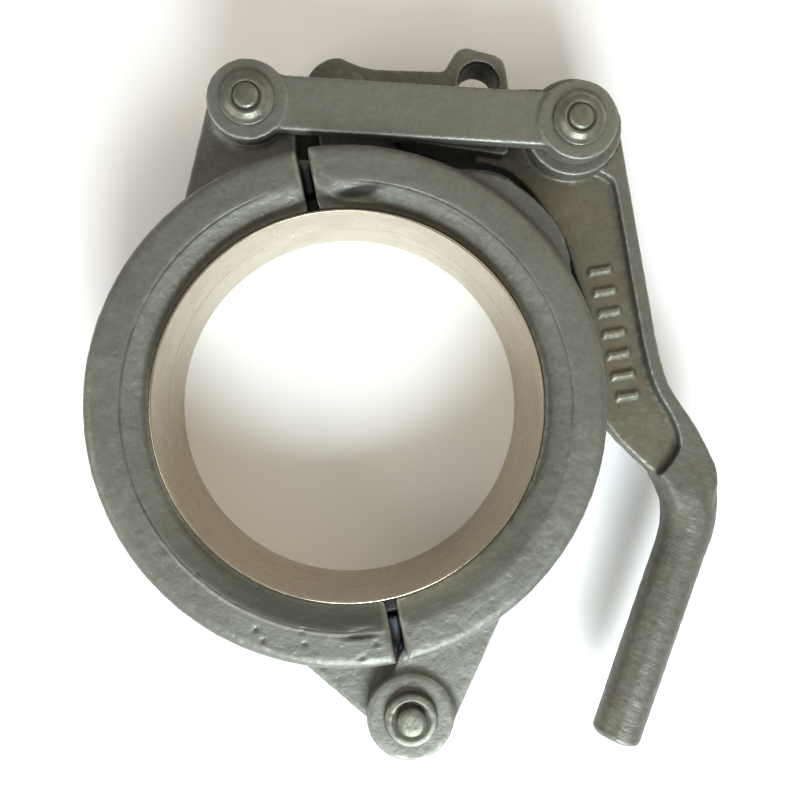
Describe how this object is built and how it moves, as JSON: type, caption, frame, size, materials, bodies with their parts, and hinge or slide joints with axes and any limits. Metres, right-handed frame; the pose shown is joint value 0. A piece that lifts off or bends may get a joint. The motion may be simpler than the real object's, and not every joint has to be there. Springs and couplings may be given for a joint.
{
  "type": "hinged lever-lock pipe clamp coupling",
  "caption": "Hinged two-piece pipe clamp coupling with an over-centre locking lever, straight links and flanged pipe ends.",
  "frame": {"origin": "middle of the closed clamp's outline seen along the pipe, on the plane of the rear ferrule's end face", "axes": "+Z along the pipe axis towards the face that carries the visible pin ends, +Y from the hinge towards the toggle, +X from the left shell towards the lever"},
  "size_m": [0.2306, 0.283, 0.056],
  "materials": {
    "shell_casting": "rough cast steel, silver-grey with an olive cast, lightly worn edges",
    "lever_casting": "rough cast steel, silver-grey, brownish in the sunken panel",
    "link_forging": "drop-forged steel, silver-grey, fine scale",
    "pin_steel": "dull turned steel with peened ends",
    "ferrule_steel": "bright machined steel, satin, warm",
    "seal_rubber": "matt black rubber"
  },
  "bodies": {
    "right_half": {"right_shell": "shell_casting", "front_ferrule": "ferrule_steel", "rear_ferrule": "ferrule_steel", "seal_ring": "seal_rubber", "hinge_pin": "pin_steel", "hinge_collar_front": "pin_steel", "hinge_collar_rear": "pin_steel", "lever_pivot_pin": "pin_steel", "pivot_collar_front": "pin_steel", "pivot_collar_rear": "pin_steel"},
    "left_half": {"left_shell": "shell_casting", "anchor_pin": "pin_steel", "anchor_collar_front": "pin_steel", "anchor_collar_rear": "pin_steel"},
    "lever": {"lever": "lever_casting", "link_pin": "pin_steel"},
    "links": {"front_link": "link_forging", "rear_link": "link_forging", "link_pin_end_front": "pin_steel", "link_pin_end_rear": "pin_steel", "link_collar_front": "pin_steel", "link_collar_rear": "pin_steel"}
  },
  "joints": [
    {"name": "lever_swing", "type": "hinge", "parent": "right_half", "child": "lever", "pos_m": [-0.00178, 0.1252, 0.028], "axis": [0, 0, 1], "range_deg": [0, 180]},
    {"name": "half_open", "type": "hinge", "parent": "right_half", "child": "left_half", "pos_m": [-0.01798, -0.1087, 0.028], "axis": [0, 0, 1], "range_deg": [0, 36.7]},
    {"name": "link_swing", "type": "hinge", "parent": "left_half", "child": "links", "pos_m": [-0.03748, 0.1253, 0.028], "axis": [0, 0, 1], "range_deg": [0, 19.8]}
  ],
  "couplings": [
    {"joint": "half_open", "follows": "lever_swing", "ratio": 0.20389},
    {"joint": "link_swing", "follows": "lever_swing", "ratio": 0.10955}
  ]
}
